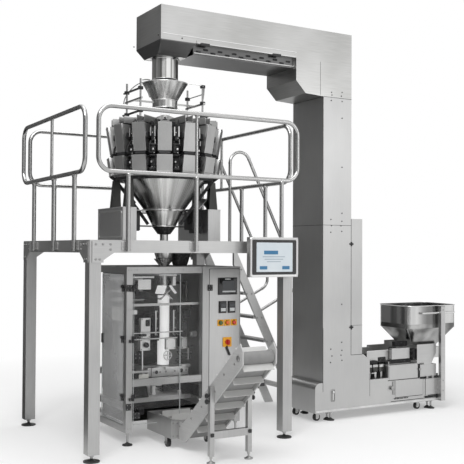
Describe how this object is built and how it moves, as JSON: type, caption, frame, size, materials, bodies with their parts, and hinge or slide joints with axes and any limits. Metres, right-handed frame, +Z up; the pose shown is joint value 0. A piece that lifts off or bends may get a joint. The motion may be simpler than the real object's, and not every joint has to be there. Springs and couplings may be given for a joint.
{
  "type": "multihead weighing and vertical bagging machine",
  "caption": "Multihead weigher on a steel platform over a vertical form-fill-seal bagger, with a bucket elevator, a ladder and a cleated take-away conveyor.",
  "frame": {"origin": "on the floor under the middle of the machine's overall length and depth", "axes": "+X along the platform's front towards the infeed hopper, +Y to the back, +Z up"},
  "size_m": [4.566, 2.756, 3.95],
  "materials": {
    "stainless": "brushed stainless sheet and tube",
    "satin_steel": "darker bead-blasted stainless",
    "rubber": "matt black",
    "black_plastic": "matt",
    "red_plastic": "semi-gloss",
    "white_belt": "matt belt",
    "clear_plastic": "clear acrylic"
  },
  "bodies": {
    "line": {"platform_legs": "stainless", "levelling_feet": "stainless", "platform_beams_front_back": "stainless", "platform_beams_sides": "stainless", "deck_plates": "stainless", "corner_gussets": "stainless", "handrail_front": "stainless", "handrail_left": "stainless", "handrail_back": "stainless", "handrail_right": "stainless", "handrail_posts": "stainless", "ladder_stringers": "stainless", "ladder_treads": "satin_steel", "ladder_handrails": "stainless", "weigher_stand": "stainless", "weigher_body": "satin_steel", "feeder_pans": "stainless", "feed_hoppers": "stainless", "weigh_hoppers": "stainless", "collecting_cone": "stainless", "outlet_funnel": "stainless", "infeed_funnel": "stainless", "funnel_posts": "stainless", "operator_panel": "stainless", "bagger_posts": "stainless", "bagger_rails": "stainless", "front_panel": "clear_plastic", "control_cabinet": "stainless", "cabinet_controls": "black_plastic", "forming_tube": "stainless", "film_carriage": "stainless", "pull_belts": "rubber", "sealing_jaws": "stainless", "bag_chute": "stainless", "conveyor_sides": "stainless", "conveyor_belt": "white_belt", "conveyor_rollers": "stainless", "conveyor_motor": "black_plastic", "conveyor_stand": "stainless", "elevator_column": "stainless", "elevator_arm": "stainless", "elevator_head": "stainless", "elevator_base": "stainless", "elevator_duct": "stainless", "infeed_hopper": "stainless", "vibrating_tray": "stainless"},
    "main_switch": {"main_switch": "red_plastic"},
    "front_door": {"front_door": "clear_plastic"},
    "side_door": {"side_door": "clear_plastic"},
    "conveyor_wheel_1": {"conveyor_wheel_1": "black_plastic"},
    "conveyor_wheel_2": {"conveyor_wheel_2": "black_plastic"},
    "caster_fork_1": {"caster_fork_1": "stainless"},
    "caster_fork_2": {"caster_fork_2": "stainless"},
    "caster_fork_3": {"caster_fork_3": "stainless"},
    "caster_fork_4": {"caster_fork_4": "stainless"},
    "caster_wheel_1": {"caster_wheel_1": "black_plastic"},
    "caster_wheel_2": {"caster_wheel_2": "black_plastic"},
    "caster_wheel_3": {"caster_wheel_3": "black_plastic"},
    "caster_wheel_4": {"caster_wheel_4": "black_plastic"}
  },
  "joints": [
    {"name": "front_door_hinge", "type": "hinge", "parent": "line", "child": "front_door", "pos_m": [-1.664, -0.036, 1], "axis": [0, 0, -1], "range_deg": [0, 110]},
    {"name": "side_door_hinge", "type": "hinge", "parent": "line", "child": "side_door", "pos_m": [-1.737, 0.037, 0.9], "axis": [0, 0, 1], "range_deg": [0, 100]},
    {"name": "main_switch_turn", "type": "hinge", "parent": "line", "child": "main_switch", "pos_m": [-0.707, -0.039, 0.862], "axis": [0, -1, 0], "range_deg": [0, 90]},
    {"name": "caster_swivel_1", "type": "hinge", "parent": "line", "child": "caster_fork_1", "pos_m": [0.388, 0.082, 0.085], "axis": [0, 0, 1], "continuous": true},
    {"name": "caster_roll_1", "type": "hinge", "parent": "caster_fork_1", "child": "caster_wheel_1", "pos_m": [0.408, 0.082, 0.0375], "axis": [0, 1, 0], "continuous": true},
    {"name": "caster_swivel_2", "type": "hinge", "parent": "line", "child": "caster_fork_2", "pos_m": [0.388, 0.442, 0.085], "axis": [0, 0, 1], "continuous": true},
    {"name": "caster_roll_2", "type": "hinge", "parent": "caster_fork_2", "child": "caster_wheel_2", "pos_m": [0.408, 0.442, 0.0375], "axis": [0, 1, 0], "continuous": true},
    {"name": "caster_swivel_3", "type": "hinge", "parent": "line", "child": "caster_fork_3", "pos_m": [1.738, 0.082, 0.085], "axis": [0, 0, 1], "continuous": true},
    {"name": "caster_roll_3", "type": "hinge", "parent": "caster_fork_3", "child": "caster_wheel_3", "pos_m": [1.758, 0.082, 0.0375], "axis": [0, 1, 0], "continuous": true},
    {"name": "caster_swivel_4", "type": "hinge", "parent": "line", "child": "caster_fork_4", "pos_m": [1.738, 0.442, 0.085], "axis": [0, 0, 1], "continuous": true},
    {"name": "caster_roll_4", "type": "hinge", "parent": "caster_fork_4", "child": "caster_wheel_4", "pos_m": [1.758, 0.442, 0.0375], "axis": [0, 1, 0], "continuous": true},
    {"name": "conveyor_wheel_roll_1", "type": "hinge", "parent": "line", "child": "conveyor_wheel_1", "pos_m": [-1.404, -0.208, 0.0375], "axis": [1, 0, 0], "continuous": true},
    {"name": "conveyor_wheel_roll_2", "type": "hinge", "parent": "line", "child": "conveyor_wheel_2", "pos_m": [-1.013, -0.208, 0.0375], "axis": [1, 0, 0], "continuous": true}
  ]
}
